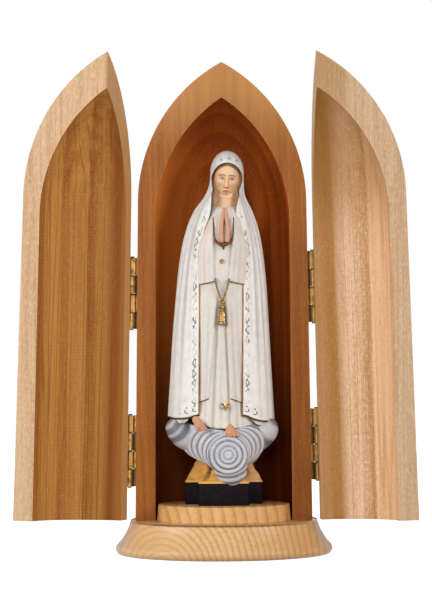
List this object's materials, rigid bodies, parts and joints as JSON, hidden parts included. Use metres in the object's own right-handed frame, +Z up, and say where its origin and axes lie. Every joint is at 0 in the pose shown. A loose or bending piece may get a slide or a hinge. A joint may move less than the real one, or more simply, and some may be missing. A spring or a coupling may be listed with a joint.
{
  "type": "niche shrine",
  "caption": "Tabletop devotional niche: turned wooden lancet shell on a flared round base, with hinged quarter-round doors and a painted carved praying figure on a cloud inside.",
  "frame": {"origin": "centre of the base's underside, on the axis the shell was turned about", "axes": "+Z up along the turning axis, -Y out of the niche towards the viewer, +X to the viewer's right"},
  "size_m": [0.1671, 0.0914, 0.2089],
  "materials": {
    "base_wood": "satin lacquer over pale turned wood",
    "plinth_wood": "satin lacquer over pale turned wood",
    "shell_wood": "satin lacquer over pale turned wood",
    "door_wood": "satin lacquer over pale turned wood",
    "hinge_brass": "aged, dull",
    "pedestal_black": "near-black paint, satin",
    "rock_ochre": "ochre paint, matt",
    "cloud_grey": "grey-blue paint with dark wash in the grooves",
    "tunic_cream": "cream paint, matt",
    "cloak_white": "white paint, matt",
    "skin": "flesh-coloured paint, satin",
    "gilt": "old gilding"
  },
  "bodies": {
    "shrine": {"base_foot": "base_wood", "plinth": "plinth_wood", "back_shell": "shell_wood", "left_lower_hinge_shell_leaf": "hinge_brass", "left_lower_hinge_pin": "hinge_brass", "left_upper_hinge_shell_leaf": "hinge_brass", "left_upper_hinge_pin": "hinge_brass", "right_lower_hinge_shell_leaf": "hinge_brass", "right_lower_hinge_pin": "hinge_brass", "right_upper_hinge_shell_leaf": "hinge_brass", "right_upper_hinge_pin": "hinge_brass", "pedestal_block": "pedestal_black", "pedestal_rock": "rock_ochre", "cloud": "cloud_grey", "tunic": "tunic_cream", "cloak": "cloak_white", "head": "skin", "left_sleeve": "tunic_cream", "right_sleeve": "tunic_cream", "left_hand": "skin", "right_hand": "skin", "left_foot": "skin", "right_foot": "skin", "neck_chain": "gilt", "tassel": "gilt", "star": "gilt"},
    "left_door": {"left_door": "door_wood", "left_lower_hinge_door_leaf": "hinge_brass", "left_upper_hinge_door_leaf": "hinge_brass"},
    "right_door": {"right_door": "door_wood", "right_lower_hinge_door_leaf": "hinge_brass", "right_upper_hinge_door_leaf": "hinge_brass"}
  },
  "joints": [
    {"name": "left_door_hinge", "type": "hinge", "parent": "shrine", "child": "left_door", "pos_m": [-0.03886, -0.0003, 0.07675], "axis": [-0.0185, 0, -0.9998], "range_deg": [-105.8, 69.2]},
    {"name": "right_door_hinge", "type": "hinge", "parent": "shrine", "child": "right_door", "pos_m": [0.03886, -0.0003, 0.07675], "axis": [-0.0185, 0, 0.9998], "range_deg": [-93.4, 81.6]}
  ]
}
